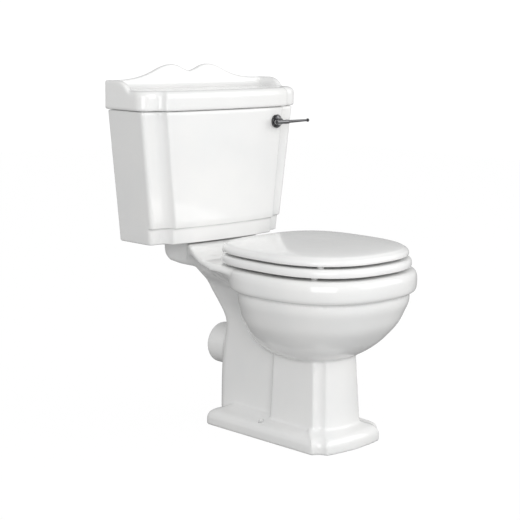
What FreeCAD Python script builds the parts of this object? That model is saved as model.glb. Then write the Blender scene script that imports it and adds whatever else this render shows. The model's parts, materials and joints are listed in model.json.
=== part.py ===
import FreeCAD, Part
import math
import os

# Close coupled toilet: a floor-standing pan with a horizontal outlet, a cistern bolted to the shelf
# behind it, a siphon flush worked by a front lever, a float-operated fill valve, and a hinged seat
# and cover. Millimetres. X is to the right seen from the front, the front is -Y, and Z is up.
# The model is drawn with Y = 0 at the wall plane and moved once, at the end, so that the origin is
# on the floor at the middle of the object's box.

V = FreeCAD.Vector

# ---------------------------------------------------------------- driving dimensions
DEPTH = 655.0                 # wall plane to the front of the pan rim
CENTRE_Y = DEPTH / 2

# Pan
RIM_TOP = 400.0
RIM_BOTTOM = 348.0
RIM_HALF_W = 203.0
BOWL_Y = -437.0               # the widest line of the rim
RIM_FRONT = DEPTH + BOWL_Y    # rim length in front of that line
RIM_REAR = 178.0
BOWL_REAR = 150.0             # the bowl's back is upright at this distance behind that line
SHELF_TOP = 421.0
SHELF_REAR_Y = -25.0
SHELF_HALF_W = 100.0
SHELF_UNDER = 370.0
WALL = 11.0                   # thickness of the ceramic
PLINTH_HALF_W = 109.5
PLINTH_REAR_Y = -208.0
PLINTH_TOP = 50.0
PEDESTAL_HALF_W = 78.0
COLUMN_HALF_W = 64.0
COLUMN_REAR_Y = -195.0
SPIGOT_Z = 172.0
SPIGOT_R = 49.0
SPIGOT_END_Y = -132.0
SPIGOT_ROOT_Y = -190.0        # face of the collar that the spigot stands on
TRAP_R = 36.0                 # radius of the trapway
FLOOR_SCREW_Y = -362.0
FLOOR_SCREW_X = 93.0
FLOOR_SCREW_R = 4.5
COUPLING_SEAT = 396.0         # underside of the shelf's plate at the coupling bolts
HINGE_SEAT = 376.0            # underside of the deck at the hinge studs

# Cistern
TANK_BOTTOM = 426.0
TANK_STEP = 463.0             # top of the recessed lower band
TANK_SHOULDER = 733.0         # where the walls step in under the lid's skirt
TANK_TOP = 766.0
TANK_HALF_W_TOP = 246.0
TANK_HALF_W_LOW = 213.0
TANK_HALF_W_BOTTOM = 209.0
LID_HALF_W = 254.0
LID_BOTTOM = 734.5
LID_DECK = 780.0
GALLERY_TOP = 800.0
CREST_TOP = 834.0
CREST_NOTCH = 818.0
GALLERY_T = 18.0

# Siphon, coupling and fill valve
SIPHON_Y = -66.0
SIPHON_TAIL_R = 25.0
CHAMBER_X = 72.0
CHAMBER_R = 45.0
COUPLING_X = 70.0
BOLT_R = 4.0
VALVE_X = 165.0
VALVE_TAIL_R = 10.4
VALVE_BOTTOM = 385.0
VALVE_BODY_R = 14.0
FLOAT_R = 32.0
FLOAT_LOW = 545.0             # underside of the float cup with the cistern empty
FLOAT_H = 62.0
VALVE_PIVOT_Z = 664.0
VALVE_ARM_L = 24.0            # pivot to link pin

# Lever
LEVER_X = 162.0
LEVER_Z = 699.0
INNER_ARM_L = LEVER_X - CHAMBER_X
INNER_ARM_Y = -116.0

# Seat
HINGE_Y = -236.0
HINGE_Z = 420.0
HINGE_X = 77.5
BAR_R = 5.0
BAR_HALF_L = 90.0
RING_BOTTOM = 406.0
RING_TOP = 425.0
COVER_BOTTOM = 430.0
SEAT_Y = -438.0
SEAT_REAR_POWER = 3.1          # how square the ring and cover are behind the middle

FIT = 0.06                    # radial clearance of a running fit


# ---------------------------------------------------------------- helpers
def cyl(r, low, high, x=0.0, y=0.0):
    return Part.makeCylinder(r, high - low, V(x, y, low), V(0, 0, 1))


def cyl_x(r, low, high, y, z):
    return Part.makeCylinder(r, high - low, V(low, y, z), V(1, 0, 0))


def cyl_y(r, low, high, x, z):
    return Part.makeCylinder(r, high - low, V(x, low, z), V(0, 1, 0))


def rod(r, start, end):
    run = end - start
    return Part.makeCylinder(r, run.Length, start, run)


def box(x0, x1, y0, y1, z0, z1):
    return Part.makeBox(x1 - x0, y1 - y0, z1 - z0, V(x0, y0, z0))


def washer(inner, outer, low, high, x=0.0, y=0.0):
    return cyl(outer, low, high, x, y).cut(cyl(inner, low - 1, high + 1, x, y))


def fuse(*shapes):
    return shapes[0].multiFuse(list(shapes[1:])).removeSplitter()


def cut(shape, *tools):
    for tool in tools:
        shape = shape.cut(tool)
    return shape


def prism(points, axis, low, high):
    """A straight-sided solid from a closed list of 2-D points: (y, z) along X, (x, z) along Y."""
    place = {"x": lambda a, b: V(low, a, b), "y": lambda a, b: V(a, low, b), "z": lambda a, b: V(a, b, low)}
    along = {"x": V(high - low, 0, 0), "y": V(0, high - low, 0), "z": V(0, 0, high - low)}
    corners = [place[axis](a, b) for a, b in points]
    return Part.Face(Part.makePolygon(corners + corners[:1])).extrude(along[axis])


def both_sides(make, x):
    """The same piece at +x and at -x, as two solids."""
    return Part.makeCompound([make(x), make(-x)])


def mirrored(shape):
    return shape.mirror(V(0, 0, 0), V(1, 0, 0))


def hexagon(across_flats, low, high, x=0.0, y=0.0):
    r = across_flats / math.sqrt(3)
    corners = [(x + r * math.cos(math.radians(a)), y + r * math.sin(math.radians(a)))
               for a in range(0, 360, 60)]
    return prism(corners, "z", low, high)


def egg(half_w, front, rear, y, z, inset=0.0, power=2.5, rear_power=2.2):
    """A closed oval outline: a fuller superellipse in front of y and a rounder one behind it."""
    count = 36
    points = []
    for i in range(count):
        t = 2 * math.pi * i / count
        c, s = math.cos(t), math.sin(t)
        n = power if s > 0 else rear_power
        length = (front if s > 0 else rear) - inset
        points.append(V(math.copysign(abs(c) ** (2 / n), c) * (half_w - inset),
                        y - math.copysign(abs(s) ** (2 / n), s) * length, z))
    curve = Part.BSplineCurve()
    curve.interpolate(points, PeriodicFlag=True)
    return Part.Wire(curve.toShape())


def stack(outlines, ruled=True):
    return Part.makeLoft(outlines, True, ruled)


def breakfront(half_w, back, wing, arris, panel, z, bow=10.0, corner=22.0):
    """A plan with recessed wings, coves and a bowed central panel; distances are Y values."""
    cove = wing - panel
    diagonal = cove * math.sqrt(0.5)
    bend = corner * (1 - math.sqrt(0.5))

    def p(x, y):
        return V(x, y, z)

    def side(sign):
        return [
            Part.LineSegment(p(sign * half_w, back), p(sign * half_w, wing + corner)),
            Part.Arc(p(sign * half_w, wing + corner), p(sign * (half_w - bend), wing + bend),
                     p(sign * (half_w - corner), wing)),
            Part.LineSegment(p(sign * (half_w - corner), wing), p(sign * (arris + cove), wing)),
            Part.Arc(p(sign * (arris + cove), wing),
                     p(sign * (arris + cove - diagonal), panel + diagonal), p(sign * arris, panel)),
        ]

    front = Part.Arc(p(-arris, panel), p(0, panel - bow), p(arris, panel))
    rear = Part.LineSegment(p(half_w, back), p(-half_w, back))
    curves = side(-1) + [front] + side(1)[::-1] + [rear]
    return Part.Wire(Part.__sortEdges__([c.toShape() for c in curves]))


def duct(points, r):
    """A round passage along a bent centre line in the YZ plane."""
    centres = [V(0, y, z) for y, z in points]
    runs = [rod(r, a, b) for a, b in zip(centres, centres[1:])]
    bends = [Part.makeSphere(r, c) for c in centres[1:-1]]
    return fuse(*runs, *bends)


# ---------------------------------------------------------------- pan
TRAP_PATH = [(-436, 165), (-425, 112), (-402, 97), (-378, 108), (-325, 198), (-305, 213), (-282, 208),
             (-236, SPIGOT_Z + 4), (-215, SPIGOT_Z), (SPIGOT_END_Y + 1, SPIGOT_Z)]


def rim_outline(z, inset):
    return egg(RIM_HALF_W, RIM_FRONT, RIM_REAR, BOWL_Y, z, inset)


def bowl_body(inset=0.0):
    """The bowl below the rim: at each level, the share of the rim's width and front, and of the back."""
    levels = ((352, 0.945, 1), (332, 0.93, 1), (304, 0.885, 1), (276, 0.823, 1), (254, 0.743, 0.99),
              (230, 0.636, 0.97), (213, 0.53, 0.93), (198, 0.405, 0.82), (186, 0.28, 0.7))
    return stack([egg(k * RIM_HALF_W, k * RIM_FRONT, rear * BOWL_REAR, BOWL_Y, z, inset)
                  for z, k, rear in levels if k * RIM_HALF_W > 70 + inset], ruled=False)


def bowl_outside():
    band = stack([rim_outline(z, inset) for z, inset in (
        (RIM_BOTTOM, 9), (353, 3), (362, 0), (382, 0), (392, 2.5), (397, 7), (RIM_TOP, 14))])
    return band, bowl_body()


def bowl_cavity(grow=0.0):
    """Half-width, front Y and rear Y of the inside at each level, from the rim opening down."""
    levels = ((RIM_TOP + 1, 140, -585, -292), (368, 140, -585, -292), (358, 170, -620, -268),
              (340, 179, -630, -262), (300, 166, -616, -290), (262, 145, -593, -342),
              (225, 110, -556, -374), (195, 58, -508, -390), (150, 40, -476, -398))
    return stack([egg(w, (rear - front) / 2, (rear - front) / 2, (front + rear) / 2, z, -grow, 2.1)
                  for z, w, front, rear in levels])


def pedestal(inset, low, high):
    """The front foot: bowed front panel between coves, with a slight taper upwards."""
    def level(z):
        taper = 8 * (z - PLINTH_TOP) / (215 - PLINTH_TOP)
        return breakfront(PEDESTAL_HALF_W - inset - taper, -372 - inset, -500 + inset + taper,
                          58 - inset - taper, -520 + inset + taper, z, bow=12, corner=2)
    return stack([level(low), level(high)])


def plinth():
    """The foot's skirt, with its top rounded over to the pedestal."""
    def level(z, inset):
        return breakfront(PLINTH_HALF_W - inset, PLINTH_REAR_Y - inset, -532 + inset,
                          84 - 0.8 * inset, -556 + inset, z, bow=14, corner=6)
    radius = 26.0
    steps = [level(0, 2), level(6, 0), level(PLINTH_TOP - radius, 0)]
    for i in range(1, 6):
        a = math.radians(18 * i)
        steps.append(level(PLINTH_TOP - radius + radius * math.sin(a), radius * (1 - math.cos(a))))
    return stack(steps)


def column(inset, low, high):
    """The narrower body behind the pedestal, which holds the trap."""
    w, rear, r = COLUMN_HALF_W - inset, COLUMN_REAR_Y - inset, 28.0
    shape = box(-w, w, -400, rear, low, high)
    upright = [e for e in shape.Edges
               if abs(e.Vertexes[0].Z - e.Vertexes[-1].Z) > 1 and e.Vertexes[0].Y > rear - 1]
    return shape.makeFillet(r, upright)


def shelf(inset=0.0):
    """The shelf behind the rim that carries the cistern and slopes down into the trapway."""
    t = inset
    outline = [(-SHELF_HALF_W + t, SHELF_REAR_Y - t), (-104 + t, -137), (-128 + t, -180),
               (-165 + t, -240), (-180 + t, -330), (-120 + t, -420)]
    plan = prism(outline + [(-x, y) for x, y in outline[::-1]], "z", 200, 430)
    side = [(SHELF_REAR_Y - t, SHELF_TOP - t), (-150 - t / 3, SHELF_TOP - t), (-222, RIM_TOP - t),
            (-420, RIM_TOP - t), (-420, 300), (-330, 240 + t), (-240 - t, 236 + t), (-200 - t, 250),
            (-160 - t, 345), (-128 - t, SHELF_UNDER + t), (-48 - t, SHELF_UNDER + t),
            (SHELF_REAR_Y - t, 396)]
    block = plan.common(prism(side, "x", -210, 210))
    narrow = [(-SHELF_HALF_W + t, 430), (-SHELF_HALF_W - 90 + t, 430), (-SHELF_HALF_W - 90 + t, 395),
              (-100 + t, 345), (-62 + t, 250), (-62 + t, 200)]
    flare = prism(narrow + [(-x, z) for x, z in narrow[::-1]], "y", -420, 0)
    return block.common(flare)


def flush_channel(r):
    """From below the flush inlet to the hollow of the rim."""
    start, end = V(0, SIPHON_Y, 391), V(0, -285, 372)
    return rod(r, start, end).fuse(Part.makeSphere(r, start))


def inlet_tools():
    return [cyl(51, SHELF_TOP - 16, SHELF_TOP + 20, 0, SIPHON_Y), cyl(30, 391, SHELF_TOP + 1, 0, SIPHON_Y),
            flush_channel(16)]


def pan_holes():
    holes = []
    for s in (-1, 1):
        holes.append(cyl(6.5, 340, 440, s * COUPLING_X, SIPHON_Y))
        holes.append(cyl(7.5, 340, 440, s * HINGE_X, HINGE_Y))
        holes.append(cyl(20, 240, HINGE_SEAT, s * HINGE_X, HINGE_Y))
        holes.append(box(s * 62 - 26, s * 62 + 26, -112, -42, SHELF_UNDER - 5, COUPLING_SEAT))
        holes.append(cyl(FLOOR_SCREW_R, -1, PLINTH_TOP + 1, s * FLOOR_SCREW_X, FLOOR_SCREW_Y))
        holes.append(cyl(7, 40, PLINTH_TOP + 1, s * FLOOR_SCREW_X, FLOOR_SCREW_Y))
    return holes


def rim_gallery():
    """The open channel round the inside of the rim that the flush runs in."""
    ring = stack([rim_outline(350, 14), rim_outline(389, 14)])
    lip = stack([egg(140, 146.5, 146.5, -438.5, z, -WALL, 2.1) for z in (349, 390)])
    return ring.cut(lip)


def casting_void():
    """The hollow between the bowl, the trapway and the outer skin, open at the floor."""
    skin = shelf(WALL).cut(box(-300, 300, -115, 0, 0, 500))
    skin = skin.fuse(bowl_body(WALL)).cut(box(-300, 300, -700, 0, 337, 500)).fuse(
        shelf(WALL).common(box(-300, 300, -300, -115, 330, 500)))
    void = skin.fuse(pedestal(WALL, -1, 215)).fuse(column(WALL, -1, 250))
    sump_wall = stack([egg(52, 52, 52, -438, 130), egg(58, 66, 60, -446, 200)])
    bosses = [cyl(28, 200, 410, s * HINGE_X, HINGE_Y) for s in (-1, 1)]
    return cut(void, bowl_cavity(WALL), sump_wall, duct(TRAP_PATH[:-1], TRAP_R + WALL),
               flush_channel(16 + WALL), *bosses)


def make_pan():
    band, body = bowl_outside()
    spigot = cyl_y(SPIGOT_R, -230, SPIGOT_END_Y, 0, SPIGOT_Z)
    collar = cyl_y(SPIGOT_R + 6, -230, SPIGOT_ROOT_Y, 0, SPIGOT_Z)
    outside = band.fuse(body).fuse(pedestal(0, 40, 230)).fuse(plinth()).fuse(column(0, 20, 262))
    outside = outside.fuse(shelf()).fuse(spigot).fuse(collar)
    pan = cut(outside, casting_void(), bowl_cavity(), rim_gallery(), duct(TRAP_PATH, TRAP_R),
              *inlet_tools(), *pan_holes())
    return max(pan.Solids, key=lambda s: s.Volume)


# ---------------------------------------------------------------- cistern
def between(z, low, high):
    return (z - low) / (high - low)


def tank_plan(z, offset=0.0, recess=0.0, back=None):
    """The tank's outline at a height; offset moves it inwards all round, recess only at the front."""
    up = max(between(z, TANK_STEP, TANK_SHOULDER), 0)
    down = max(between(z, TANK_STEP, TANK_BOTTOM), 0)
    half_w = TANK_HALF_W_LOW + up * (TANK_HALF_W_TOP - TANK_HALF_W_LOW)
    half_w -= down * (TANK_HALF_W_LOW - TANK_HALF_W_BOTTOM)
    wing, arris, panel = -119 - 4 * up, 161 + 28 * up, -143 + 0.5 * up
    return breakfront(half_w - offset, -offset if back is None else back, wing + offset + recess,
                      arris - 0.6 * offset, panel + offset + recess, z)


def make_tank():
    walls = stack([tank_plan(TANK_BOTTOM, 0, 8), tank_plan(TANK_STEP - 6, 0, 7), tank_plan(TANK_STEP),
                   tank_plan(TANK_SHOULDER)])
    collar = stack([tank_plan(z, 9, 0, -16) for z in (TANK_SHOULDER - 1, TANK_TOP)])
    inside = stack([tank_plan(TANK_BOTTOM + WALL, WALL, 8), tank_plan(TANK_STEP + 20, WALL),
                    tank_plan(TANK_SHOULDER - 12, WALL), tank_plan(TANK_SHOULDER - 2, 17, 0, -24),
                    tank_plan(TANK_TOP + 1, 17, 0, -24)])
    return cut(walls.fuse(collar), inside,
               cyl(SIPHON_TAIL_R + 1, TANK_BOTTOM - 1, TANK_BOTTOM + 20, 0, SIPHON_Y),
               cyl(VALVE_TAIL_R + 0.6, TANK_BOTTOM - 1, TANK_BOTTOM + 20, VALVE_X, SIPHON_Y),
               cyl_y(10, -170, -110, LEVER_X, LEVER_Z),
               cyl_y(4, -30, 10, -150, 690), cyl_y(4, -30, 10, 150, 690))


def lid_plan(z, inset=0.0):
    return breakfront(LID_HALF_W - inset, -inset, -131 + inset, 197 - 0.7 * inset, -150.5 + inset, z,
                      corner=24)


def crest():
    """The back board: a double-humped top line with a notch at the centre."""
    half = [(LID_HALF_W, GALLERY_TOP), (185, 802), (154, 807), (123, 816), (92, 827), (56, CREST_TOP),
            (24, 829)]
    points = [(-x, z) for x, z in half] + [(0, CREST_NOTCH)] + half[::-1]
    curve = Part.BSplineCurve()
    curve.interpolate([V(x, 0, z) for x, z in points])
    ends = [V(LID_HALF_W, 0, LID_DECK - 5), V(-LID_HALF_W, 0, LID_DECK - 5)]
    lines = [Part.LineSegment(curve.EndPoint, ends[0]), Part.LineSegment(ends[0], ends[1]),
             Part.LineSegment(ends[1], curve.StartPoint)]
    wire = Part.Wire([curve.toShape()] + [line.toShape() for line in lines])
    return Part.Face(wire).extrude(V(0, -15, 0))


def gallery(side):
    """A side rail whose front end scrolls down to the deck."""
    a, b = V(0, -46, GALLERY_TOP), V(0, -76, LID_DECK + 2)
    middle = V(0, -67, 793)
    base = [V(0, -76, LID_DECK - 6), V(0, 0, LID_DECK - 6), V(0, 0, GALLERY_TOP)]
    edges = [Part.Arc(a, middle, b).toShape()]
    corners = [b] + base + [a]
    edges += [Part.LineSegment(p, q).toShape() for p, q in zip(corners, corners[1:])]
    rail = Part.Face(Part.Wire(edges)).extrude(V(GALLERY_T, 0, 0))
    rail.translate(V(LID_HALF_W - GALLERY_T, 0, 0))
    return rail if side > 0 else mirrored(rail)


def make_lid():
    slab = stack([lid_plan(LID_BOTTOM, 1.5), lid_plan(LID_BOTTOM + 3), lid_plan(768), lid_plan(774, 2),
                  lid_plan(778, 6), lid_plan(LID_DECK, 11)])
    under = stack([lid_plan(LID_BOTTOM - 1, 12), lid_plan(767, 12)])
    rear_board = crest()
    board_foot = box(-LID_HALF_W, LID_HALF_W, -15, 0, 760, LID_DECK - 4)
    rail_feet = [box(s * 245 - 9, s * 245 + 9, -76, 0, 766, LID_DECK - 4) for s in (-1, 1)]
    solid = fuse(slab, rear_board, board_foot, gallery(1), gallery(-1), *rail_feet)
    return solid.cut(under)


# ---------------------------------------------------------------- flush siphon and coupling
def make_siphon():
    """A down leg through the tank floor, a crown, and a piston chamber open at the bottom.
    The crown is welded to the other two at one seam."""
    y = SIPHON_Y
    down, chamber = cyl(SIPHON_TAIL_R, 400, 640, 0, y), cyl(CHAMBER_R, 458, 520, CHAMBER_X, y)
    flange = cyl(38, 440, 446, 0, y)
    neck = Part.makeCone(CHAMBER_R, 27, 26, V(CHAMBER_X, y, 520))
    rise = cyl(27, 546, 640, CHAMBER_X, y)
    crown = cyl_x(25, 0, CHAMBER_X, y, 628)
    ends = [Part.makeSphere(25, V(0, y, 628)), Part.makeSphere(27, V(CHAMBER_X, y, 628))]
    guide = cyl(6, 640, 668, CHAMBER_X, y)
    outside = fuse(down.cut(cyl(40, 628, 700, 0, y)), chamber, flange, neck,
                   rise.cut(cyl(40, 628, 700, CHAMBER_X, y)), crown, *ends, guide)
    wall = 3.0
    inside = fuse(cyl(SIPHON_TAIL_R - wall, 399, 628, 0, y), cyl(CHAMBER_R - wall, 457, 520, CHAMBER_X, y),
                  Part.makeCone(CHAMBER_R - wall, 27 - wall, 26, V(CHAMBER_X, y, 520)),
                  cyl(27 - wall, 546, 628, CHAMBER_X, y), cyl_x(22, 0, CHAMBER_X, y, 628),
                  Part.makeSphere(22, V(0, y, 628)), Part.makeSphere(24, V(CHAMBER_X, y, 628)))
    whole = cut(outside, inside, cyl(3.3, 600, 700, CHAMBER_X, y))
    seam, middle = 600.0, (SIPHON_TAIL_R + CHAMBER_X - CHAMBER_R) / 2
    chamber_space = box(middle, 140, y - 60, y + 60, 452, seam)
    crown_space = box(-60, 140, y - 60, y + 60, seam, 700)
    return {"siphon_tail": cut(whole, chamber_space, crown_space),
            "siphon_chamber": whole.common(chamber_space),
            "siphon_crown": whole.common(crown_space)}


def make_lift():
    """The pull rod with its plate hook, the piston with its ports, and the flap over them."""
    y, x = SIPHON_Y, CHAMBER_X
    piston = cyl(CHAMBER_R - 4, 462, 466, x, y)
    for i in range(8):
        a = math.radians(45 * i)
        piston = piston.cut(cyl(8, 455, 470, x + 26 * math.cos(a), y + 26 * math.sin(a)))
    hook = fuse(box(x - 14, x + 14, y - 2, y + 2, 684, 716), cyl(5, 676, 686, x, y))
    hook = cut(hook, box(x - 8, x + 11, y - 5, y + 5, LEVER_Z - 4, LEVER_Z + 4))
    return {"siphon_piston": piston.cut(cyl(3, 455, 470, x, y)),
            "siphon_flap": washer(3, CHAMBER_R - 6, 466, 467.5, x, y),
            "siphon_rod": cyl(3, 460, 676, x, y),
            "lift_hook": hook}


def wing_nut(bore, top, x, y):
    """A wing nut with its flat face up, for the underside of the pan."""
    hub = cyl(8, top - 8, top, x, y)
    wings = [box(x - 1.6, x + 1.6, y + s * 13 - 6, y + s * 13 + 6, top - 15, top - 1) for s in (-1, 1)]
    return fuse(hub, *wings).cut(cyl(bore, top - 20, top + 1, x, y))


def coupling():
    y, x, seat = SIPHON_Y, COUPLING_X, COUPLING_SEAT
    plate = fuse(box(-x, x, y - 16, y + 16, 423, TANK_BOTTOM), cyl(16, 423, TANK_BOTTOM, x, y),
                 cyl(16, 423, TANK_BOTTOM, -x, y), cyl(40, 423, TANK_BOTTOM, 0, y))
    plate = cut(plate, cyl(SIPHON_TAIL_R + 0.5, 400, 440, 0, y), cyl(BOLT_R, 400, 440, x, y),
                cyl(BOLT_R, 400, 440, -x, y))
    nut = hexagon(62, 411, 423, 0, y).cut(cyl(SIPHON_TAIL_R, 400, 440, 0, y))
    return {
        "siphon_seal": washer(SIPHON_TAIL_R + 0.5, 37, TANK_BOTTOM + WALL, 440, 0, y),
        "coupling_plate": plate,
        "siphon_back_nut": nut,
        "doughnut_washer": washer(37, 50, SHELF_TOP - 16, 423, 0, y),
        "coupling_bolts": both_sides(lambda s: cyl(BOLT_R, seat - 23, TANK_BOTTOM, s, y), x),
        "coupling_rubber_washers": both_sides(
            lambda s: washer(BOLT_R + 0.4, 13, seat - 3, seat, s, y), x),
        "coupling_steel_washers": both_sides(
            lambda s: washer(BOLT_R + 0.3, 12, seat - 4.5, seat - 3, s, y), x),
        "coupling_wing_nuts": both_sides(lambda s: wing_nut(BOLT_R, seat - 4.5, s, y), x),
    }


# ---------------------------------------------------------------- fill valve and float
def fill_valve():
    """A bottom-entry riser with a cap; a float cup slides on it and tips a small arm on the cap."""
    x, y, z = VALVE_X, SIPHON_Y, VALVE_PIVOT_Z
    pivot_x = x - 6
    link_x = pivot_x - VALVE_ARM_L
    shank = fuse(cyl(VALVE_TAIL_R, VALVE_BOTTOM, 415, x, y), cyl(VALVE_TAIL_R - 0.2, 415, 520, x, y),
                 cyl(18, 440, 445, x, y))
    body = fuse(cyl(VALVE_BODY_R, 520, 640, x, y), cyl(19, 640, 654, x, y))
    ears = [box(pivot_x - 4, pivot_x + 4, y + s * 6 - 2, y + s * 6 + 2, 653, z + 5) for s in (-1, 1)]
    head = cut(fuse(body, *ears), cyl(3 + FIT, 640, 660, x, y),
               cyl_y(1.5 + FIT, y - 20, y + 20, pivot_x, z))
    low, high = FLOAT_LOW, FLOAT_LOW + FLOAT_H
    cup = cyl(FLOAT_R, low, high, x, y).cut(cyl(FLOAT_R - 2, low - 1, high - 3, x, y))
    cup = fuse(cup, cyl(VALVE_BODY_R + 2.5, low, high, x, y), cyl(4, high - 4, high, link_x, y))
    cup = cut(cup, cyl(VALVE_BODY_R + FIT, low - 1, high + 1, x, y),
              cyl(1.5, high - 10, high + 5, link_x, y))
    link = fuse(cyl(1.5, high - 10, z + 4, link_x, y), cyl_y(1.5, y - 5, y + 5, link_x, z))
    arm = fuse(box(link_x - 7, x + 5, y - 3.5, y + 3.5, z - 3, z + 3),
               cyl_y(4, y - 3.5, y + 3.5, pivot_x, z))
    arm = cut(arm, cyl_y(1.5 + FIT, y - 9, y + 9, pivot_x, z),
              box(link_x - 5, link_x + 3, y - 9, y + 9, z - 2.2, z + 2.2),
              box(link_x - 9, link_x + 5, y - 2, y + 2, z - 9, z + 9))
    tip = cyl(1, z - 7, z - 3.2, x, y)
    return {
        "fill_valve_shank": shank.cut(cyl(6, VALVE_BOTTOM - 1, 519, x, y)),
        "fill_valve_seal": washer(VALVE_TAIL_R + 0.3, 18, TANK_BOTTOM + WALL, 440, x, y),
        "fill_valve_back_nut": hexagon(30, TANK_BOTTOM - 9, TANK_BOTTOM, x, y).cut(
            cyl(VALVE_TAIL_R - 0.2, 400, 440, x, y)),
        "fill_valve_body": head,
        "valve_arm_pin": cyl_y(1.5, y - 9, y + 9, pivot_x, z),
        "valve_arm": arm,
        "valve_plunger": fuse(cyl(3, 646, z - 7, x, y), tip),
        "float_cup": cup,
        "float_link": link,
    }


# ---------------------------------------------------------------- lever
def lever():
    x, z = LEVER_X, LEVER_Z
    face = -156.0
    tank = make_tank()
    bezel = fuse(cyl_y(16.5, face, -149, x, z), cyl_y(9.5, -150, -124, x, z))
    bezel = bezel.cut(cyl_y(5 + FIT, -170, -110, x, z))
    gasket = cyl_y(15.5, -149, -140, x, z).cut(cyl_y(10, -160, -100, x, z)).cut(tank)
    gasket = max(gasket.Solids, key=lambda s: s.Volume)
    nut = cyl_y(15, -131, -127, x, z).cut(cyl_y(9.5, -160, -100, x, z)).cut(tank)
    hub = fuse(cyl_y(9, -172, -157, x, z), Part.makeSphere(9, V(x, -170, z)))
    tip = V(x + 78, -179, z + 1)
    handle = fuse(hub, rod(3.2, V(x, -166, z), tip), Part.makeSphere(5, tip))
    spindle = cyl_y(5, -157, INNER_ARM_Y + 4, x, z)
    arm = fuse(box(x - INNER_ARM_L - 4, x, INNER_ARM_Y - 2, INNER_ARM_Y + 2, z - 4, z + 4),
               cyl_y(9, INNER_ARM_Y - 4, INNER_ARM_Y + 4, x, z),
               cyl_y(2.5, INNER_ARM_Y, SIPHON_Y + 8, x - INNER_ARM_L, z))
    arm = cut(arm, cyl_y(5, -170, -100, x, z), cyl(1.5, z, z + 20, x, INNER_ARM_Y))
    return {"lever_bezel": bezel, "lever_gasket": gasket, "lever_back_nut": nut, "lever_handle": handle,
            "lever_spindle": spindle, "lever_inner_arm": arm,
            "lever_grub_screw": cyl(1.5, z + 5, z + 9, x, INNER_ARM_Y)}


# ---------------------------------------------------------------- seat
def ring_outline(z, inset):
    return egg(190, 643 + SEAT_Y, 190, SEAT_Y, z, inset, rear_power=SEAT_REAR_POWER)


def ring_hole(z, inset):
    return egg(112, 133, 150, SEAT_Y, z, -inset, power=2.2)


def make_ring():
    levels = ((RING_BOTTOM, 3), (RING_BOTTOM + 4, 0), (417, 0), (422, 3), (RING_TOP, 9))
    outside = stack([ring_outline(z, inset) for z, inset in levels])
    hole = stack([ring_hole(RING_BOTTOM - 1, 1), ring_hole(416, 0), ring_hole(422, 4),
                  ring_hole(RING_TOP, 9), ring_hole(RING_TOP + 1, 9)])
    return outside.cut(hole)


def make_cover():
    levels = ((COVER_BOTTOM, 2), (433, 0), (440, 0), (445, 5), (448, 16), (451, 45), (453, 90),
              (453.8, 130))
    outside = stack([egg(188, 633 + SEAT_Y - 2, 190, SEAT_Y - 2, z, inset, rear_power=SEAT_REAR_POWER)
                     for z, inset in levels])
    under = stack([egg(188, 633 + SEAT_Y - 2, 160, SEAT_Y - 2, z, inset)
                   for z, inset in ((COVER_BOTTOM - 1, 40), (438, 46), (443, 80), (446, 120))])
    return outside.cut(under)


def buffers(spots, low, high):
    return Part.makeCompound([cyl(7, low, high, s * x, y) for x, y in spots for s in (-1, 1)])


def knuckle(x, width):
    return cyl_x(8, x - width / 2, x + width / 2, HINGE_Y, HINGE_Z)


def ring_lug(x):
    w = 18.0
    web = box(x - w / 2, x + w / 2, HINGE_Y - 8, HINGE_Y + 2, 403, HINGE_Z)
    tongue = box(x - w / 2, x + w / 2, -282, HINGE_Y - 6, 403, RING_BOTTOM)
    lug = fuse(knuckle(x, w), web, tongue)
    return cut(lug, cyl_x(BAR_R + FIT, x - w, x + w, HINGE_Y, HINGE_Z),
               *[cyl(2, 395, 415, x, y) for y in (-260, -274)])


def cover_lug(x):
    w = 22.0
    tongue = box(x - w / 2, x + w / 2, -284, HINGE_Y, 427, COVER_BOTTOM)
    lug = fuse(knuckle(x, w), tongue)
    return cut(lug, cyl_x(BAR_R + FIT, x - w, x + w, HINGE_Y, HINGE_Z),
               *[cyl(2, 420, 440, x, y) for y in (-262, -276)])


def post(x):
    stud = cyl(3, HINGE_SEAT - 22, 402, x, HINGE_Y)
    top = HINGE_Z + 8
    pillar = fuse(cyl(11, 402, top, x, HINGE_Y), Part.makeCone(11, 6, 4, V(x, HINGE_Y, top)))
    return fuse(pillar, stud).cut(cyl_x(BAR_R, x - 20, x + 20, HINGE_Y, HINGE_Z))


def bar_cap(x):
    length = math.copysign(4, x)
    return cyl_x(7, min(x, x + length), max(x, x + length), HINGE_Y, HINGE_Z)


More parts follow.
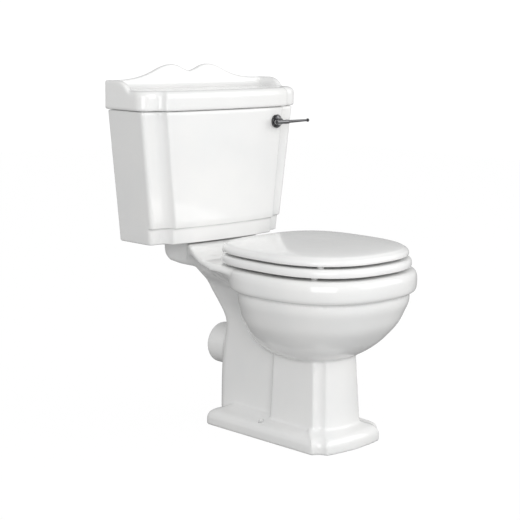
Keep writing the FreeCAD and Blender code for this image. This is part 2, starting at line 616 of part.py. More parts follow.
def seat():
    ring_x, cover_x = 53.0, 28.0
    ring_spots = [(s * ring_x, y) for s in (-1, 1) for y in (-260, -274)]
    cover_spots = [(s * cover_x, y) for s in (-1, 1) for y in (-262, -276)]
    ring_screws = [fuse(cyl(2, 401, 414, *spot), cyl(3.5, 401, 403, *spot)) for spot in ring_spots]
    cover_screws = [fuse(cyl(2, 426, 437, *spot), cyl(3.5, 425.6, 427, *spot)) for spot in cover_spots]
    ring = cut(make_ring(), *[cyl(2, 400, 414, *spot) for spot in ring_spots])
    cover = cut(make_cover(), *[cyl(2, 420, 437, *spot) for spot in cover_spots])
    return {
        "seat_ring": ring,
        "seat_cover": cover,
        "ring_buffers": buffers(((137, -557), (125, -330)), RIM_TOP, RING_BOTTOM),
        "cover_buffers": buffers(((130, -568), (128, -335)), RING_TOP, COVER_BOTTOM),
        "ring_hinge_lugs": both_sides(ring_lug, ring_x),
        "cover_hinge_lugs": both_sides(cover_lug, cover_x),
        "ring_hinge_screws": Part.makeCompound(ring_screws),
        "cover_hinge_screws": Part.makeCompound(cover_screws),
        "hinge_posts": both_sides(post, HINGE_X),
        "hinge_post_washers": both_sides(lambda x: washer(4, 13, RIM_TOP, 402, x, HINGE_Y), HINGE_X),
        "hinge_bar": cyl_x(BAR_R, -BAR_HALF_L, BAR_HALF_L, HINGE_Y, HINGE_Z),
        "hinge_bar_caps": both_sides(bar_cap, BAR_HALF_L),
        "hinge_under_washers": both_sides(
            lambda x: washer(3.2, 12, HINGE_SEAT - 2.5, HINGE_SEAT, x, HINGE_Y), HINGE_X),
        "hinge_wing_nuts": both_sides(lambda x: wing_nut(3, HINGE_SEAT - 2.5, x, HINGE_Y), HINGE_X),
    }


# ---------------------------------------------------------------- write
def all_nodes():
    nodes = {"pan": make_pan(), "cistern_tank": make_tank(), "cistern_lid": make_lid()}
    for group in (make_siphon(), make_lift(), coupling(), fill_valve(), lever(), seat()):
        nodes.update(group)
    return nodes


if __name__ == "__main__":
    os.makedirs("parts", exist_ok=True)
    for name, shape in all_nodes().items():
        shape.translate(V(0, CENTRE_Y, 0))
        shape.exportStep(f"parts/{name}.step")
        print(f"{name:26s} valid {shape.isValid()} solids {len(shape.Solids)} "
              f"volume {shape.Volume / 1000:9.2f} cm3")
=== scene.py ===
import json
import math

import bpy
import bmesh
import numpy as np
from mathutils import Matrix, Vector

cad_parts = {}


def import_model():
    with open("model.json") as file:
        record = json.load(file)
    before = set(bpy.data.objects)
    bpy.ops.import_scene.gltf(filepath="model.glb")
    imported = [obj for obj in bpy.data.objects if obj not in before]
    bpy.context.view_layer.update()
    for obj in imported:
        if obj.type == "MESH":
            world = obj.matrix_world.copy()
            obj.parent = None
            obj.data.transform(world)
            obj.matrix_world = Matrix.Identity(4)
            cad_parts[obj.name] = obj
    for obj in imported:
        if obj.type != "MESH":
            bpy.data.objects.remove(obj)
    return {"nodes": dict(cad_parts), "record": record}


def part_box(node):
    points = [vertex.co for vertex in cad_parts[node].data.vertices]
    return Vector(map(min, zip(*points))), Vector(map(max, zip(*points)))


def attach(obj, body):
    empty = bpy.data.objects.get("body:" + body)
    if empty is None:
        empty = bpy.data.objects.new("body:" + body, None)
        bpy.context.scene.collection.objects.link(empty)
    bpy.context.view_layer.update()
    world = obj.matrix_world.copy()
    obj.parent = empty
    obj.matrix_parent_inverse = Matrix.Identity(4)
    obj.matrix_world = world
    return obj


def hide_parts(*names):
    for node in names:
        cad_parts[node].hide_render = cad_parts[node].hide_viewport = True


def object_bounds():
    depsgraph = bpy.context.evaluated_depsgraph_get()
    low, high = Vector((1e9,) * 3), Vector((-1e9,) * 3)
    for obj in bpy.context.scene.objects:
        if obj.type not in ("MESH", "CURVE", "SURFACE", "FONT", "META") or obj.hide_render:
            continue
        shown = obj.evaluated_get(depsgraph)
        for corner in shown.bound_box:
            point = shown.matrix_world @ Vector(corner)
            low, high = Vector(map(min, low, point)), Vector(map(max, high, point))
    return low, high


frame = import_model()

# Shapes are drawn in millimetres with Y = 0 at the wall plane, as in the CAD source, and moved into
# the frame by to_frame(). X is to the right seen from the front, and the front is -Y.
cad_low, cad_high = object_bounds()
MM = 0.001
WALL_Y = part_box("cistern_lid")[1].y
SCENE = bpy.context.scene
UP, BACKWARDS = (0, 0, 1), (0, 1, 0)
RIGHT, FORWARDS = (1, 0, 0), (0, -1, 0)
SCENE.view_settings.view_transform = "Standard"


# ================================================================ mesh helpers
def to_frame(points):
    """From the drawing's millimetres to the frame's metres."""
    moved = np.array(points, float) * MM
    moved[:, 1] += WALL_Y
    return moved


def add_mesh(name, points, faces):
    mesh = bpy.data.meshes.new(name)
    mesh.from_pydata(to_frame(points).tolist(), [], faces)
    bm = bmesh.new()
    bm.from_mesh(mesh)
    bmesh.ops.recalc_face_normals(bm, faces=bm.faces)
    bm.to_mesh(mesh)
    bm.free()
    mesh.update()
    piece = bpy.data.objects.new(name, mesh)
    SCENE.collection.objects.link(piece)
    return piece


def skin(name, rings, wrap=False):
    """A closed surface through loops of equal length, capped at both ends or joined end to end."""
    rings = [np.asarray(r, float) for r in rings]
    n, m = len(rings[0]), len(rings)
    points = np.vstack(rings)
    faces = []
    for i in range(m if wrap else m - 1):
        a, b = i * n, ((i + 1) % m) * n
        faces += [(a + k, a + (k + 1) % n, b + (k + 1) % n, b + k) for k in range(n)]
    if not wrap:
        points = np.vstack([points, rings[0].mean(0), rings[-1].mean(0)])
        first, last, top = m * n, m * n + 1, (m - 1) * n
        faces += [(first, (k + 1) % n, k) for k in range(n)]
        faces += [(last, top + k, top + (k + 1) % n) for k in range(n)]
    return add_mesh(name, points, faces)


def bake(piece):
    """Applies the piece's modifiers to its mesh."""
    graph = bpy.context.evaluated_depsgraph_get()
    mesh = bpy.data.meshes.new_from_object(piece.evaluated_get(graph))
    piece.modifiers.clear()
    piece.data = mesh
    return piece


def boolean(piece, tools, operation):
    """Joins or cuts with each tool in turn, and uses the tools up."""
    for tool in tools:
        modifier = piece.modifiers.new("boolean", "BOOLEAN")
        modifier.operation = operation
        modifier.object = tool
        modifier.solver = "MANIFOLD"
        bake(piece)
        bpy.data.objects.remove(tool)
    return piece


def join(piece, *others):
    return boolean(piece, others, "UNION")


def carve(piece, *tools):
    return boolean(piece, tools, "DIFFERENCE")


def soften(piece, voxel, passes):
    """Rebuilds the surface on an even grid and smooths it, which rounds every edge and corner."""
    remesh = piece.modifiers.new("remesh", "REMESH")
    remesh.mode = "VOXEL"
    remesh.voxel_size = voxel * MM
    smooth = piece.modifiers.new("smooth", "SMOOTH")
    smooth.factor = 0.5
    smooth.iterations = passes
    return bake(piece)


def shade(piece, angle):
    """Smooth shading, with faces that meet at more than the angle left crisp."""
    mesh = piece.data
    mesh.polygons.foreach_set("use_smooth", [True] * len(mesh.polygons))
    mesh.set_sharp_from_angle(angle=math.radians(angle))
    mesh.update()
    return piece


def place(piece, slot, body, node):
    """Finishes a piece: its material, the body it moves with and the CAD node it stands for."""
    piece.data.materials.clear()
    piece.data.materials.append(MATERIALS[slot])
    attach(piece, body)
    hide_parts(node)


# ================================================================ outlines
def ease(count):
    """Positions from 0 to 1, closer together near both ends."""
    return (1 - np.cos(np.linspace(0, math.pi, count, endpoint=False))) / 2


def run(a, b, count):
    """A straight stretch from a towards b."""
    t = ease(count)[:, None]
    return np.array(a, float) + (np.array(b, float) - np.array(a, float)) * t


def arc(centre, radius, start, end, count):
    """A round stretch between two angles in degrees."""
    t = np.radians(np.linspace(start, end, count, endpoint=False))
    return np.column_stack([centre[0] + radius * np.cos(t), centre[1] + radius * np.sin(t)])


def close_half(half, z, blur):
    """A closed symmetric loop from its right half, with its corners eased."""
    loop = np.vstack([half, (half * [-1, 1])[::-1][:-1]])
    for _ in range(blur):
        loop = (np.roll(loop, 1, 0) + 2 * loop + np.roll(loop, -1, 0)) / 4
    return np.column_stack([loop, np.full(len(loop), float(z))])


BOW = 10.0          # how far a front panel bulges in its middle


def breakfront(half_w, back, wing, arris, panel, z, corner, rear_r, blur=2):
    """The cistern's and the foot's plan: a bowed panel that ends at the arris, coves, recessed wings
    and rounded corners. back, wing and panel are Y of the back, the wings and the panel's edge."""
    cove = wing - panel
    t = ease(22)
    front = np.column_stack([arris * t, panel - BOW * (1 - t ** 2)])
    half = np.vstack([
        front,
        arc((arris + cove, panel), cove, 180, 90, 12),
        run((arris + cove, wing), (half_w - corner, wing), 10),
        arc((half_w - corner, wing + corner), corner, -90, 0, 10),
        run((half_w, wing + corner), (half_w, back - rear_r), 18),
        arc((half_w - rear_r, back - rear_r), rear_r, 0, 90, 6),
        run((half_w - rear_r, back), (0, back), 14), [(0, back)]])
    return close_half(half, z, blur)


def egg(half_w, front, rear, y, z, inset=0.0, power=2.5, rear_power=2.2):
    """An oval that reaches front mm in front of y and rear mm behind it. A higher power is squarer."""
    t = np.linspace(0, 2 * math.pi, 128, endpoint=False)
    c = np.cos(t)
    s = np.sin(t)
    n = np.where(s > 0, power, rear_power)
    length = np.where(s > 0, front, rear) - inset
    x = np.sign(c) * np.abs(c) ** (2 / n) * (half_w - inset)
    along = y - np.sign(s) * np.abs(s) ** (2 / n) * length
    return np.column_stack([x, along, np.full(len(t), float(z))])


def block_ring(half_w, rear, front, z, rear_r, front_r=20.0):
    """A rounded oblong in plan."""
    half = np.vstack([
        run((0, front), (half_w - front_r, front), 8),
        arc((half_w - front_r, front + front_r), front_r, -90, 0, 8),
        run((half_w, front + front_r), (half_w, rear - rear_r), 16),
        arc((half_w - rear_r, rear - rear_r), rear_r, 0, 90, 14),
        run((half_w - rear_r, rear), (0, rear), 8), [(0, rear)]])
    return close_half(half, z, 0)


def circle_about(side, other, count):
    """Unit vectors round a circle in the plane of two unit vectors."""
    angles = np.linspace(0, 2 * math.pi, count, endpoint=False)
    return np.cos(angles)[:, None] * side + np.sin(angles)[:, None] * other


def side_of(direction):
    """An axis well away from a direction."""
    return np.array([1.0, 0, 0]) if abs(direction[0]) < 0.9 else np.array([0, 0, 1.0])


def tube(name, path, radius):
    """A round bar along a path, with radius a number or one per point."""
    path = np.array(path, float)
    radius = np.broadcast_to(radius, len(path))
    tangents = np.gradient(path, axis=0)
    tangents /= np.linalg.norm(tangents, axis=1)[:, None]
    side = side_of(tangents[0])
    rings = []
    for p, t, r in zip(path, tangents, radius):
        u = side - t * side.dot(t)
        u /= np.linalg.norm(u)
        rings.append(p + r * circle_about(u, np.cross(t, u), 32))
    return skin(name, rings)


def turned(name, start, axis, profile):
    """A turned piece: profile is (distance along the axis, radius) from one end to the other."""
    start = np.array(start, float)
    axis = np.array(axis, float)
    side = side_of(axis)
    circle = circle_about(side, np.cross(axis, side), 48)
    return skin(name, [start + axis * d + max(r, 0.02) * circle for d, r in profile])


def bore(x, y, z, axis, radius, length):
    """A cutter for a plain round hole that starts at a point and runs along an axis."""
    return turned("bore", (x, y, z), axis, [(0, radius), (length, radius)])


def curve_through(knots, at):
    """A smooth curve through a few (position, value) knots, level where they turn back."""
    x, y = np.array(knots, float).T
    slope = np.gradient(y, x)
    steps = np.diff(y) / np.diff(x)
    for i in range(1, len(x) - 1):
        if steps[i - 1] * steps[i] <= 0:
            slope[i] = 0
    i = np.clip(np.searchsorted(x, at) - 1, 0, len(x) - 2)
    h = x[i + 1] - x[i]
    t = np.clip((at - x[i]) / h, 0, 1)
    return (y[i] * (1 + 2 * t) * (1 - t) ** 2 + y[i + 1] * t ** 2 * (3 - 2 * t)
            + h * slope[i] * t * (1 - t) ** 2 - h * slope[i + 1] * t ** 2 * (1 - t))


# ================================================================ materials
def node_material(name, colour, roughness, metallic=0.0):
    """A new material with its node tree and shader."""
    material = bpy.data.materials.new(name)
    material.use_nodes = True
    shader = material.node_tree.nodes["Principled BSDF"]
    shader.inputs["Base Color"].default_value = (*colour, 1)
    shader.inputs["Roughness"].default_value = roughness
    shader.inputs["Metallic"].default_value = metallic
    return material, material.node_tree, shader


def noise(tree, scale, detail=2.0):
    """Noise in the object's own metres."""
    where = tree.nodes.new("ShaderNodeTexCoord")
    texture = tree.nodes.new("ShaderNodeTexNoise")
    texture.inputs["Scale"].default_value = scale
    texture.inputs["Detail"].default_value = detail
    tree.links.new(where.outputs["Object"], texture.inputs["Vector"])
    return texture.outputs["Fac"]


def ramp(tree, value, low, high, start=0.0, end=1.0):
    """Maps a value to a range of numbers or colours."""
    if isinstance(low, (int, float)):
        node = tree.nodes.new("ShaderNodeMapRange")
        for key, number in (("From Min", start), ("From Max", end), ("To Min", low), ("To Max", high)):
            node.inputs[key].default_value = number
        tree.links.new(value, node.inputs["Value"])
        return node.outputs["Result"]
    node = tree.nodes.new("ShaderNodeValToRGB")
    for stop, position, colour in zip(node.color_ramp.elements, (start, end), (low, high)):
        stop.position = position
        stop.color = (*colour, 1)
    tree.links.new(value, node.inputs["Fac"])
    return node.outputs["Color"]


def bump(tree, shader, heights):
    """Stacks bumps: each height is (value, depth in metres)."""
    normal = None
    for value, depth in heights:
        node = tree.nodes.new("ShaderNodeBump")
        node.inputs["Distance"].default_value = depth
        node.inputs["Strength"].default_value = 1.0
        tree.links.new(value, node.inputs["Height"])
        if normal is not None:
            tree.links.new(normal, node.inputs["Normal"])
        normal = node.outputs["Normal"]
    tree.links.new(normal, shader.inputs["Normal"])


def mottle(tree, shader, scale, detail, low, high, start=0.3, end=0.7):
    """Lets the base colour drift between two close colours."""
    colours = ramp(tree, noise(tree, scale, detail), low, high, start, end)
    tree.links.new(colours, shader.inputs["Base Color"])


def glaze():
    """Vitreous china: white glaze that drifts between a trace warmer and a trace cooler, slightly wavy
    and with a very fine grain."""
    material, tree, shader = node_material("white_glaze", (0.9, 0.9, 0.89), 0.1)
    shader.inputs["IOR"].default_value = 1.52
    shader.inputs["Coat Weight"].default_value = 0.35
    shader.inputs["Coat Roughness"].default_value = 0.03
    mottle(tree, shader, 9.0, 4.0, (0.872, 0.876, 0.872), (0.905, 0.903, 0.893))
    tree.links.new(ramp(tree, noise(tree, 55.0), 0.07, 0.15), shader.inputs["Roughness"])
    bump(tree, shader, [(noise(tree, 14.0, 1.0), 0.0008), (noise(tree, 420.0, 2.0), 0.000012)])
    return material


def seat_plastic():
    """Moulded thermoset: evenly white, slightly wavy, with a softer gloss than the china."""
    material, tree, shader = node_material("seat_gloss", (0.91, 0.91, 0.9), 0.14)
    shader.inputs["IOR"].default_value = 1.5
    shader.inputs["Coat Weight"].default_value = 0.25
    shader.inputs["Coat Roughness"].default_value = 0.06
    mottle(tree, shader, 30.0, 3.0, (0.895, 0.897, 0.893), (0.915, 0.914, 0.906))
    tree.links.new(ramp(tree, noise(tree, 160.0), 0.1, 0.2), shader.inputs["Roughness"])
    bump(tree, shader, [(noise(tree, 18.0, 1.0), 0.0004), (noise(tree, 900.0, 2.0), 0.000008)])
    return material


def metal(name, colour, rough):
    """Bare metal with a fine grain."""
    material, tree, shader = node_material(name, colour, rough, 1.0)
    polish = ramp(tree, noise(tree, 140.0, 4.0), rough * 0.7, rough * 1.6)
    tree.links.new(polish, shader.inputs["Roughness"])
    mottle(tree, shader, 60.0, 3.0, tuple(c * 0.9 for c in colour), colour, 0.35, 0.65)
    bump(tree, shader, [(noise(tree, 900.0, 2.0), 0.00002)])
    return material


def chrome():
    """Polished plate with a painted reflection: the base colour is painted dark face on and bright at
    grazing angles, standing in for the reflection of a plain dark room.
    """
    material, tree, shader = node_material("chrome", (0.7, 0.7, 0.72), 0.06, 1.0)
    edge = tree.nodes.new("ShaderNodeLayerWeight")
    edge.inputs["Blend"].default_value = 0.35
    # Painted reflection: the facing value paints the base colour dark face on and bright at grazing
    # angles.
    colours = ramp(tree, edge.outputs["Facing"], (0.05, 0.05, 0.053), (0.8, 0.8, 0.82), 0.12, 0.85)
    tree.links.new(colours, shader.inputs["Base Color"])
    tree.links.new(ramp(tree, noise(tree, 140.0, 4.0), 0.04, 0.11), shader.inputs["Roughness"])
    bump(tree, shader, [(noise(tree, 900.0, 2.0), 0.000004)])
    return material


def polymer(name, colour, rough, grain=700.0, depth=0.00003):
    """Plastic or rubber with a grain of a given fineness and depth."""
    material, tree, shader = node_material(name, colour, rough)
    matt = ramp(tree, noise(tree, 200.0, 3.0), rough * 0.8, min(1.0, rough * 1.25))
    tree.links.new(matt, shader.inputs["Roughness"])
    mottle(tree, shader, 45.0, 4.0, tuple(c * 0.88 for c in colour), colour)
    bump(tree, shader, [(noise(tree, grain, 3.0), depth)])
    return material


MATERIALS = {
    "white_glaze": glaze(),
    "seat_gloss": seat_plastic(),
    "white_buffer": polymer("white_buffer", (0.86, 0.86, 0.85), 0.45),
    "chrome": chrome(),
    "brass": metal("brass", (0.72, 0.55, 0.27), 0.28),
    "steel": metal("steel", (0.62, 0.62, 0.63), 0.3),
    "black_rubber": polymer("black_rubber", (0.035, 0.035, 0.036), 0.7),
    "foam_rubber": polymer("foam_rubber", (0.055, 0.055, 0.057), 0.9, 350.0, 0.0003),
    "white_plastic": polymer("white_plastic", (0.8, 0.8, 0.78), 0.35),
    "valve_plastic": polymer("valve_plastic", (0.16, 0.22, 0.32), 0.38),
    "clear_flap": polymer("clear_flap", (0.68, 0.7, 0.7), 0.3),
}


# ================================================================ cistern tank
TANK_BOTTOM, TANK_STEP, TANK_SHOULDER, TANK_TOP = 426.0, 463.0, 733.0, 766.0
WALL = 11.0
BORE_Y = -66.0                      # the line of the flush inlet, the siphon and the coupling bolts
INLET_X = 165.0
LEVER_X, LEVER_Z = 162.0, 699.0
WALL_SCREW_X, WALL_SCREW_Z = 150.0, 690.0


def tank_ring(z, inset=0.0, recess=0.0, back=None):
    """The tank's plan at a height. It widens from the step to the shoulder, and the band below the
    step stands back by the recess."""
    up = max((z - TANK_STEP) / (TANK_SHOULDER - TANK_STEP), 0)
    down = max((TANK_STEP - z) / (TANK_STEP - TANK_BOTTOM), 0)
    half_w = 213 + 33 * up - 4 * down
    if back is None:
        back = -inset
    wing = -119 - 4 * up + inset + recess
    arris = 161 + 28 * up - 0.6 * inset
    panel = -143 + 0.5 * up + inset + recess
    return breakfront(half_w - inset, back, wing, arris, panel, z, corner=9, rear_r=4, blur=3)


def quarter(steps=6):
    """(sine, 1 - cosine) of angles from 0 to 90 degrees."""
    return [(math.sin(a), 1 - math.cos(a)) for a in np.linspace(0, math.pi / 2, steps)]


def make_tank():
    """The rings run up the outside, over the top edge and down the inside."""
    band = 8.0                      # how far the band below the step stands back
    edge = 4.0
    foot = TANK_BOTTOM - 2.4        # the outer edge hangs a little lower than the underside
    lip = TANK_TOP - edge           # the top edge, which stands inside the lid
    rings = [tank_ring(TANK_BOTTOM, 13, band + 13), tank_ring(foot, 12, band + 12)]
    rings += [tank_ring(foot + edge * (1 - s), edge * c, band + edge * c) for s, c in quarter(8)[::-1]]
    rings += [tank_ring(455, 0, band), tank_ring(457, 0, band)]
    rings += [tank_ring(457 + 6 * s, 0, band - (band - 1.5) * c) for s, c in quarter()[1:]]
    rings += [tank_ring(463.6, 0, 0.5), tank_ring(465, 0, 0)]
    rings += [tank_ring(z) for z in np.linspace(480, 722, 12)]
    rings += [tank_ring(729.5 + 3.5 * s, 3.5 * c) for s, c in quarter()]
    rings += [tank_ring(TANK_SHOULDER, 8.4, 0, -15), tank_ring(734, 9, 0, -16), tank_ring(lip, 9, 0, -16)]
    rings += [tank_ring(lip + edge * s, 9 + edge * c, 0, -16 - edge * c) for s, c in quarter()[1:]]
    rings += [tank_ring(lip + edge * s, 17 - edge * c, 0, -24 + edge * c) for s, c in quarter()[::-1][1:]]
    rings += [tank_ring(731, 17, 0, -24), tank_ring(721, WALL), tank_ring(600, WALL), tank_ring(483, WALL),
              tank_ring(452, WALL, band)]
    rings += [tank_ring(452 - 15 * s, WALL + 15 * c, band) for s, c in quarter()[1:]]
    tank = skin("cistern_tank_shell", rings)
    below = TANK_BOTTOM - 6
    carve(tank,
          bore(0, BORE_Y, below, UP, 26, 30),
          bore(INLET_X, BORE_Y, below, UP, 11, 30),
          bore(LEVER_X, -170, LEVER_Z, BACKWARDS, 10, 60),
          *[bore(s * WALL_SCREW_X, -30, WALL_SCREW_Z, BACKWARDS, 4, 40) for s in (-1, 1)])
    return shade(tank, 40)


# ================================================================ cistern lid
LID_HALF_W, LID_BOTTOM, DECK = 254.0, 734.5, 780.0
# The crest's top edge: distance from the middle and height. It dips in the middle between two humps.
CREST = ((0, 818), (18, 823.5), (36, 831), (56, 834.4), (74, 833), (93, 828), (123, 816), (154, 807),
         (185, 802), (222, 800), (256, 800))
# A side gallery's top edge, from the front to the wall: Y and height.
SCROLL = ((-120, 764), (-98, 769), (-86, 774.5), (-77, 781), (-70, 789), (-60, 796), (-46, 800),
          (-24, 800.5), (5, 800))


def lid_ring(z, inset=0.0):
    return breakfront(LID_HALF_W - inset, -inset, -131 + inset, 197 - 0.7 * inset, -150.5 + inset, z,
                      corner=24, rear_r=3)


def lid_slab():
    """Hollow underneath. The rings run from the hollow over the rim's edge and up the outside."""
    edge = 3
    rings = [lid_ring(767, 12), lid_ring(742, 12)]
    rings += [lid_ring(LID_BOTTOM + edge - edge * s, 12 - edge * c) for s, c in quarter()]
    rings += [lid_ring(LID_BOTTOM + edge - edge * s, edge * c) for s, c in quarter()[::-1]]
    rings += [lid_ring(752), lid_ring(766)]
    rings += [lid_ring(766 + 14 * s, 12 * c) for s, c in quarter(8)[1:]]
    return skin("cistern_lid_shell", rings)


def rail_profile(top, thick, sweep):
    """(distance in from the outer face, height) round a rail: square-ish top and a cove at its foot."""
    r = 4.5
    cove = max(min(sweep, top - DECK - r), 0.6)
    low = min(DECK, top - r - 0.7)
    outer = [(0, low - 12), (0, low)] + [(r * c, top - r + r * s) for s, c in quarter(5)]
    inner = [(thick - r * c, top - r + r * s) for s, c in quarter(5)[::-1]]
    foot = [(thick + cove * (1 - math.cos(a)), low + cove * (1 - math.sin(a)))
            for a in np.linspace(0, math.pi / 2, 7)]
    return np.array(outer + inner + foot + [(thick + cove + 0.1, low - 12)])


def crest_board():
    rings = []
    for x in np.linspace(-LID_HALF_W + 0.2, LID_HALF_W - 0.2, 150):
        depth, z = rail_profile(float(curve_through(CREST, abs(x))), 14.0, 17.0).T
        rings.append(np.column_stack([np.full(len(z), x), -depth, z]))
    return skin("crest", rings)


def gallery(side):
    rings = []
    for y in np.linspace(-0.2, -104, 60):
        depth, z = rail_profile(float(curve_through(SCROLL, y)), 16.0, 13.0).T
        rings.append(np.column_stack([side * (LID_HALF_W - 0.2 - depth), np.full(len(z), y), z]))
    return skin("gallery", rings)


def make_lid():
    lid = join(lid_slab(), crest_board(), gallery(1), gallery(-1))
    return shade(soften(lid, 2.4, 4), 180)


# ================================================================ pan
RIM_TOP, BOWL_Y = 400.0, -437.0
RIM_W, RIM_FRONT, RIM_REAR, BOWL_REAR = 203.0, 218.0, 178.0, 150.0
BOLT_X = 70.0
HINGE_X, HINGE_Y = 77.5, -236.0
OUTLET_Z, OUTLET_R = 172.0, 49.0
FLOOR_SCREW_X, FLOOR_SCREW_Y = 93.0, -362.0
# The rim's band: depth below its top, and how far in from its widest outline.
RIM_BAND = ((0, 16), (0.6, 11), (2.5, 6.5), (6, 3.2), (12, 1), (20, 0), (30, 0), (38, 0.6), (44, 1.8),
            (47.5, 4), (49.6, 8), (50.6, 15))
# The bowl's outside: depth below the rim's top, share of the rim's width and front length, and share
# of the bowl's rear length.
BOWL = ((51.6, 0.921, 1), (54, 0.925, 1), (62, 0.931, 1), (68, 0.93, 1), (96, 0.885, 1), (124, 0.823, 1),
        (146, 0.743, 0.99), (170, 0.636, 0.97), (187, 0.53, 0.93), (202, 0.405, 0.82), (214, 0.28, 0.7))


def bowl_and_rim():
    """The rim's band, and the bowl from the second level of its table down."""
    rings = [egg(RIM_W, RIM_FRONT, RIM_REAR, BOWL_Y, RIM_TOP - d, inset) for d, inset in RIM_BAND]
    depths = np.linspace(BOWL[1][0], BOWL[-1][0], 34)
    shares = curve_through([level[:2] for level in BOWL], depths)
    rear_shares = curve_through([level[::2] for level in BOWL], depths)
    for d, k, rear in zip(depths, shares, rear_shares):
        rings.append(egg(k * RIM_W, k * RIM_FRONT, rear * BOWL_REAR, BOWL_Y, RIM_TOP - d))
    return skin("pan_body", rings)


def bend(a, control, b, count):
    """A quadratic curve from a towards b."""
    t = np.linspace(0, 1, count, endpoint=False)[:, None]
    return (1 - t) ** 2 * np.array(a) + 2 * t * (1 - t) * np.array(control) + t ** 2 * np.array(b)


def shelf_section(y, half_w, top, lip_r, lip, ridge_x, ridge_z, tuck):
    """The shelf's cross-section at a depth: a flat top, a lip, and a side that turns in to a low ridge.
    The side is square at tuck 0 and hollowed at tuck 1."""
    corner = (half_w + (ridge_x + 4 - half_w) * tuck, ridge_z + (lip - ridge_z - 2) * tuck)
    half = np.vstack([
        run((0, top), (half_w - lip_r, top), 8),
        arc((half_w - lip_r, top - lip_r), lip_r, 90, 0, 8),
        run((half_w, top - lip_r), (half_w, lip), 6),
        bend((half_w, lip), corner, (ridge_x, ridge_z), 12),
        run((ridge_x, ridge_z), (0, ridge_z), 8), [(0, ridge_z)]])
    loop = close_half(half, 0, 0)
    return np.column_stack([loop[:, 0], np.full(len(loop), float(y)), loop[:, 1]])


def shelf():
    """From the back to the bowl. The columns are those of shelf_section."""
    stations = ((-25, 84, 418, 6, 408, 78, 400, 0), (-29, 94, 420.5, 5, 402, 86, 392, 0),
                (-38, 100, 421, 5, 393, 90, 381, 0), (-52, 102, 421, 5, 385, 90, 371, 0),
                (-90, 103, 421, 5, 381, 89, 367, 0), (-122, 107, 421, 5, 384, 92, 367, 0.1),
                (-138, 118, 420.5, 5, 400, 96, 367, 0.4), (-155, 128, 418, 5, 402, 98, 366, 0.6),
                (-175, 138, 413.5, 5, 400, 101, 365, 0.8), (-195, 147, 407.5, 5, 396, 106, 364, 0.9),
                (-215, 155.5, 402.5, 6, 391, 113, 362, 0.9), (-233, 163, 400, 6, 389, 120, 360, 0.9),
                (-257, 173, 400, 8, 388, 128, 357, 0.9), (-275, 178, 400, 10, 387, 132, 355, 0.8),
                (-300, 178, 399.8, 10, 387, 139, 353, 0.7), (-330, 177, 399.6, 10, 385, 150, 352, 0.6),
                (-400, 176, 399.6, 10, 380, 150, 352, 0.3))
    return skin("shelf", [shelf_section(*s) for s in stations])


def trapway():
    """The body below the shelf, from the flare under it down to the column's foot. Each level has its
    height, half width at the rear, Y of the rear, and half width where the flank passes flank_y. The
    flank then runs straight on into the bowl."""
    levels = ((372, 96, -124, 126), (366, 98, -128, 136), (354, 93, -138, 130), (335, 76, -142, 106),
              (313, 69, -152, 93), (298, 67, -163, 85), (279, 64, -176, 74), (262, 63, -188, 67),
              (245, 62, -195, 63), (236, 62, -196, 62), (190, 62, -189, 62), (145, 62, -184, 62),
              (49, 62, -182, 62), (30, 62, -182, 62))
    heights, *columns = np.array(levels)[::-1].T
    front, flank_y = -400.0, -290.0
    r = 28.0
    rings = []
    for z in np.linspace(30, 372, 60):
        rear_w, y, flank_w = (float(curve_through(list(zip(heights, row)), z)) for row in columns)
        front_w = flank_w + (flank_w - rear_w) * (flank_y - front) / (y - flank_y)
        half = np.vstack([run((0, front), (front_w, front), 8),
                          run((front_w, front), (rear_w, y - r), 20),
                          arc((rear_w - r, y - r), r, 0, 90, 14),
                          run((rear_w - r, y), (0, y), 8), [(0, y)]])
        rings.append(close_half(half, z, 2))
    return skin("trapway", rings)


def pedestal():
    """The block under the bowl, which narrows towards its top."""
    def ring(z):
        taper = 8 * (z - 50) / 165
        lean = 1.3 * taper
        return breakfront(78 - taper, -372, -510 + lean, 58 - taper, -528 + lean, z, corner=3, rear_r=6)
    return skin("pedestal", [ring(z) for z in np.linspace(36, 232, 16)])


# The foot's profile: height, and how far in from its widest outline.
LEDGE = ((0, 1.2), (1, 0.4), (3, 0), (12, 0), (18, 0), (25, 1.6), (31, 5), (35, 10), (37.6, 16), (40, 24),
         (44, 34), (50, 44))


def plinth():
    """A foot with a rounded edge and a ledge that rises to the pedestal."""
    def ring(z, i):
        return breakfront(111.5 - i, -194 - i, -537 + i, 89 - 0.8 * i, -562 + i, z, corner=7, rear_r=12)
    return skin("plinth", [ring(z, i) for z, i in LEDGE])


def spigot():
    """The outlet's end, with a rounded mouth."""
    r = OUTLET_R
    return turned("spigot", (0, -132, OUTLET_Z), FORWARDS,
                  [(3, r - 14), (1, r - 12.5), (0, r - 10), (0, r - 4), (1, r - 1), (3.5, r), (60, r),
                   (130, r)])


# The bowl's inside: height, half width, Y of the front and Y of the rear. It opens into a channel under
# the rim.
CAVITY = ((404, 152, -598, -280), (400.2, 149, -595, -283), (397, 144.5, -590.5, -287.5),
          (392, 141.2, -586.5, -291), (386, 140, -585, -292), (366, 140, -585, -292),
          (362, 142, -588, -290), (359, 150, -598, -290), (356, 160, -610, -294),
          (350, 170, -622, -300), (335, 174, -628, -304), (300, 162, -614, -306),
          (262, 145, -593, -342), (225, 110, -556, -374), (195, 66, -514, -388),
          (172, 48, -488, -395), (150, 42, -478, -398))


def bowl_cavity():
    """The rings stand closer together round the rim's channel and edge."""
    levels = np.array(CAVITY)[::-1]
    near_rim = [353, 355, 357, 359, 361, 363, 366, 376, 386, 389, 392, 394.5, 397, 399, 400.2, 402, 404]
    z = np.concatenate([np.linspace(150, 350, 40), near_rim])
    w, front, rear = (curve_through(levels[:, (0, i)], z) for i in (1, 2, 3))
    return skin("cavity", [egg(a, (r - f) / 2, (r - f) / 2, (f + r) / 2, h, 0, 2.1)
                           for a, f, r, h in zip(w, front, rear, z)])


